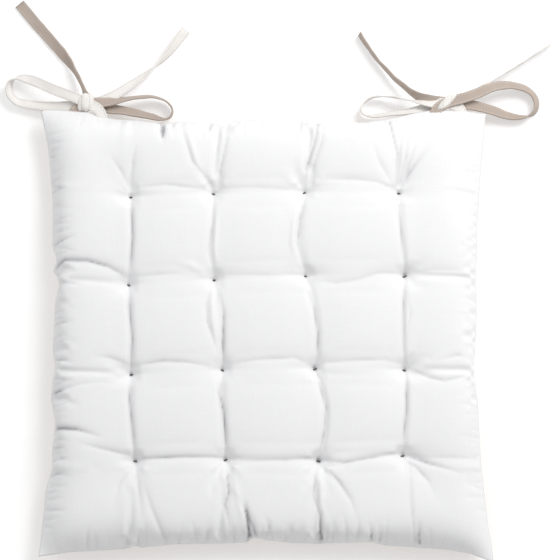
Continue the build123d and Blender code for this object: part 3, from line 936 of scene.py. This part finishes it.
# where each tape runs, in millimetres, and how far it is tipped on edge there, in degrees
tie_runs = {
    "left_white_tie": [
        (-145, 187.7, 20, 0), (-146, 200, 21.3, 0), (-158, 207, 21.3, 0), (-173, 213.5, 21, 2),
        (-191, 220.5, 18.5, 2), (-209, 230, 13, -8), (-223, 234.5, 8.6, -52),
        (-231.5, 230.5, 6.6, -104), (-232, 219.5, 6.4, -130), (-225.5, 211.5, 6.5, -146),
        (-212, 208.7, 7.2, -157), (-197, 206.5, 10.5, -164), (-181, 205.3, 15.5, -172),
        (-169, 205.8, 16.9, -180), (-157, 207.5, 16.9, -180), (-141, 212, 16.9, -178),
        (-125, 222.5, 14, -160), (-104, 239, 8.5, -122), (-88, 256.5, 5.8, -58),
        (-72, 279, 3.6, -10)],
    "left_beige_tie": [
        (-172, 190.2, 20, 0), (-172, 202, 19.1, 0), (-159.5, 208, 19.1, 0),
        (-144, 208, 19.1, 20), (-129, 211, 18, 55), (-113, 214.5, 14.5, 62),
        (-99, 215.5, 10.5, 68), (-88.5, 212, 7.8, 80), (-83, 204.5, 7, 90),
        (-84.5, 197.2, 8, 95), (-91, 194.5, 10, 112), (-101, 196.5, 12, 130),
        (-114, 199.5, 13.8, 142), (-129, 202, 15, 150), (-144, 204, 14.9, 170),
        (-157, 207.5, 14.7, 180), (-161.5, 215.5, 13, 240), (-165, 226, 10, 262),
        (-172, 240, 7, 254), (-183, 255.5, 4.6, 217), (-197, 272, 2.4, 193),
        (-211, 288, 1.8, 186), (-224, 304, 1.5, 182)],
    "right_beige_tie": [
        (151, 188.3, 20, 0), (152, 200.5, 21.3, 0), (163.5, 208, 21.3, 0), (178, 211.5, 21.3, 0),
        (190, 215.5, 20.5, 8), (205, 223.5, 17, 20), (221, 226.5, 11.5, 34),
        (237, 224.5, 7, 46), (246.5, 215, 5.6, 54), (246, 203.5, 5.8, 66),
        (237, 197, 6, 108), (221, 198, 6.2, 146), (206, 203, 10.4, 158),
        (191, 206, 14.8, 170), (178, 207.5, 16.9, 180), (164, 209, 16.9, 180),
        (150, 210.5, 16.9, 205), (137, 215, 14.5, 244), (123, 227, 10.5, 260),
        (108, 243, 7.2, 267), (95, 260, 5.8, 267), (86, 275, 5.8, 258)],
    "right_white_tie": [
        (178, 191, 20, 0), (178, 203.5, 19.1, 0), (165.5, 208, 19.1, 0), (151, 207, 19.1, -35),
        (137, 209.5, 17, -70), (123, 213.5, 13.5, -78), (109, 216.5, 10, -78), (96, 216, 7.5, -84),
        (87.5, 209, 6.4, -90), (87.5, 201, 7, -95), (95, 197.5, 9, -108),
        (108, 198.3, 11.8, -116), (123, 200, 13.8, -122), (138, 202.3, 14.9, -142),
        (151, 204.5, 14.7, -178), (164, 208, 14.7, -180), (176, 212.5, 14.2, -160),
        (190, 221, 11, -116), (206, 231, 8, -100), (224, 242, 6.2, -96), (243, 254, 5.8, -95),
        (261, 266.5, 5.8, -100)],
}
tie_colours = {"white_tape": ((0.79, 0.765, 0.735), (0.58, 0.56, 0.54)),
               "beige_tape": ((0.43, 0.36, 0.312), (0.56, 0.49, 0.44))}
tape_paints = {slot: cotton(slot, *colours, 1500.0, 0.00015, tape=True)
               for slot, colours in tie_colours.items()}


def tape_line(name, run):
    """Points close together on the tape's middle line, and the tip at each."""
    curve = bpy.data.curves.new(name + "_line", "CURVE")
    curve.dimensions = "3D"
    curve.resolution_u = 12
    spline = curve.splines.new("NURBS")
    spline.points.add(len(run) - 1)
    for point, (x, y, z, tip) in zip(spline.points, run):
        point.co = (x * mm, y * mm, z * mm, 1.0)
    spline.order_u = 3
    spline.use_endpoint_u = True
    holder = set_in_scene(name + "_line", curve)
    shown = holder.evaluated_get(bpy.context.evaluated_depsgraph_get())
    read = bpy.data.meshes.new_from_object(shown)
    line = np.array([vertex.co[:] for vertex in read.vertices])
    bpy.data.meshes.remove(read)
    bpy.data.objects.remove(holder)
    apart = np.linalg.norm(np.diff(line, axis=0), axis=1) > 1e-5
    line = line[np.concatenate([[True], apart])]
    marks = []
    start = 0
    for x, y, z, tip in run:
        ahead = line[start:start + 40]
        start += int(np.argmin(np.linalg.norm(ahead - np.array([x, y, z]) * mm, axis=1)))
        marks.append(start)
    along = np.concatenate([[0], np.cumsum(np.linalg.norm(np.diff(line, axis=0), axis=1))])
    marks = np.maximum.accumulate(np.array(marks) + np.arange(len(marks)) * 1e-3)
    tips = np.interp(np.arange(len(line)), marks, [tip for x, y, z, tip in run])
    # the tip changes gradually along the tape
    spread = 9
    tips = np.convolve(np.pad(tips, spread // 2, mode="edge"), np.ones(spread) / spread,
                       mode="valid")
    return line, tips, along


def tape(name, line, tips, along, slot, wobble):
    """A folded tape on the line, with thicker stitched edges and slightly uneven width."""
    half = tape_width / 2
    # the tape's section, as shares of half its width and of its thickness
    outline = [(-1.0, 0.0), (-0.97, 0.55), (-0.85, 0.62), (-0.62, 0.42), (-0.2, 0.5), (0.2, 0.5),
               (0.62, 0.42), (0.85, 0.62), (0.97, 0.55), (1.0, 0.0), (0.97, -0.55),
               (0.85, -0.62), (0.62, -0.42), (0.2, -0.5), (-0.2, -0.5), (-0.62, -0.42),
               (-0.85, -0.62), (-0.97, -0.55)]
    ahead = np.gradient(line, axis=0)
    ahead /= np.linalg.norm(ahead, axis=1, keepdims=True)
    flat_way = np.cross(ahead, (0, 0, 1))
    flat_way /= np.linalg.norm(flat_way, axis=1, keepdims=True)
    rise = np.cross(flat_way, ahead)
    lean = np.radians(tips)[:, None]
    side = np.cos(lean) * flat_way + np.sin(lean) * rise
    face = np.cos(lean) * rise - np.sin(lean) * flat_way
    count, round_steps = len(line), len(outline)
    points = np.empty((count, round_steps, 3))
    for k, (u, v) in enumerate(outline):
        uneven = np.array([noise.noise(Vector((s * 90 + wobble, u * 0.8, 0.0)))
                           for s in along])
        edge = np.array([noise.noise(Vector((s * 160 + wobble, 7.0 * (u > 0), 3.0)))
                         for s in along])
        points[:, k] = (line + side * (u * half * (0.96 + 0.05 * edge))[:, None]
                        + face * (v * tape_thick + 0.0007 * uneven)[:, None])
    vertices = points.reshape(-1, 3)
    number = np.arange(count * round_steps).reshape(count, round_steps)
    faces = []
    uvs = []
    across_u = [u * half for u, v in outline]
    for k in range(count - 1):
        for a in range(round_steps):
            b = (a + 1) % round_steps
            faces.append((int(number[k, a]), int(number[k, b]), int(number[k + 1, b]),
                          int(number[k + 1, a])))
            uvs += [(across_u[a], along[k]), (across_u[b], along[k]),
                    (across_u[b], along[k + 1]), (across_u[a], along[k + 1])]
    for end, flip in ((0, True), (count - 1, False)):
        for a in range(round_steps // 2):
            ring = [a, a + 1, (round_steps - a - 1) % round_steps,
                    (round_steps - a) % round_steps]
            ring = list(dict.fromkeys(ring))
            if len(ring) < 3:
                continue
            if flip:
                ring = ring[::-1]
            faces.append(tuple(int(number[end, r]) for r in ring))
            uvs += [(across_u[r], along[end]) for r in ring]
    mesh = bpy.data.meshes.new(name)
    mesh.from_pydata(vertices.tolist(), [], faces)
    layer = mesh.uv_layers.new(name="tape")
    layer.data.foreach_set("uv", np.array(uvs, dtype=np.float32).ravel())
    mesh.shade_smooth()
    mesh.materials.append(tape_paints[slot])
    return set_in_scene(name, mesh)


ties = {}
for wobble, (node, run) in enumerate(tie_runs.items()):
    slot = "white_tape" if "white" in node else "beige_tape"
    line, tips, along = tape_line(node, run)
    ties[node] = (tape(node + "_tape", line, tips, along, slot, wobble * 5.3), line, along[-1])
    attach(ties[node][0], "root")
    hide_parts(node)

# the tacks: a turn of white thread round each tape where it is caught in the seam
tack_radius, tack_twist = 0.00022, 0.0012
for node, (low, high) in seam_at.items():
    low, high = np.array(low), np.array(high)
    centre = (low + high) / 2
    half_size = (high - low) / 2 - 0.0002
    loop = [(centre[0] + u, centre[1], centre[2] + v)
            for u, v in rounded_loop(half_size[0], half_size[2], 0.0005, 0.0006)]
    tack = twisted_thread(node + "_tack_thread", loop, tack_radius, tack_twist)
    tack.data.materials.append(white_thread)
    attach(tack, "root")
    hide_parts(node + "_tack")

# ---------------------------------------------------------------------------------------
# Bow knots: the white tie's own turn round the middle of each bow, pulled tight, so its tape
# is squeezed into a few folds. The left knot is a round lump, the right a slim slanting band.
# ---------------------------------------------------------------------------------------


def wrapped_knot(name, centre, half_along, half_deep, half_high, slant, pleats, seed):
    """A turn of folded tape round the strands: narrow at its middle, puffed at its edges."""
    rows, columns = 28, 48
    squareness = 0.72
    vertices = []
    faces = []
    for i in range(rows + 1):
        w = -1 + 2 * i / rows
        for j in range(columns):
            angle = j / columns * 2 * math.pi
            c, s = math.cos(angle), math.sin(angle)
            u = math.copysign(abs(c) ** squareness, c)
            v = math.copysign(abs(s) ** squareness, s)
            body = (1 - abs(w) ** 3.2) ** 0.5 if abs(w) < 1 else 0.0
            fold = 1 + 0.05 * math.cos(pleats * math.pi * w + 1.3 * c + seed)
            lump = 1 + 0.10 * noise.noise(Vector((2.2 * w + seed, 1.6 * c, 1.6 * s)))
            size = (0.30 + 0.70 * body) * fold * lump if abs(w) < 1 else 0.30
            y = half_deep * u * size
            z = half_high * v * size
            x = half_along * w + slant * y
            vertices.append((centre[0] + x, centre[1] + y, max(centre[2] + z, 0.001)))
    for i in range(rows):
        for j in range(columns):
            after = (j + 1) % columns
            faces.append((i * columns + j, (i + 1) * columns + j, (i + 1) * columns + after,
                          i * columns + after))
    first, last = len(vertices), len(vertices) + 1
    vertices += [(centre[0] - half_along * 1.01, centre[1], centre[2]),
                 (centre[0] + half_along * 1.01, centre[1], centre[2])]
    for j in range(columns):
        after = (j + 1) % columns
        faces.append((first, j, after))
        faces.append((last, rows * columns + after, rows * columns + j))
    mesh = bpy.data.meshes.new(name)
    mesh.from_pydata(vertices, [], faces)
    layer = mesh.uv_layers.new(name="tape")
    for loop in mesh.loops:
        x, y, z = vertices[loop.vertex_index]
        round_at = math.atan2(z - centre[2], y - centre[1]) * 0.007
        layer.data[loop.index].uv = (x - centre[0], round_at)
    mesh.shade_smooth()
    mesh.materials.append(tape_paints["white_tape"])
    return set_in_scene(name, mesh)


knots = {}
for node, pulled_aside, half_along, half_deep, slant, pleats, seed in (
        ("left_bow_knot", (-0.0050, 0.0012, 0), 0.0070, 0.0080, 0.15, 2, 0.4),
        ("right_bow_knot", (0, 0.0006, 0), 0.0052, 0.0078, 0.80, 1, 2.1)):
    low, high = np.array(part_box(node))
    half_high = (high[2] - low[2]) / 2 + 0.0004
    knots[node] = wrapped_knot(node + "_wrap", (low + high) / 2 + pulled_aside, half_along,
                               half_deep, half_high, slant, pleats, seed)
    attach(knots[node], "root")
    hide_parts(node)
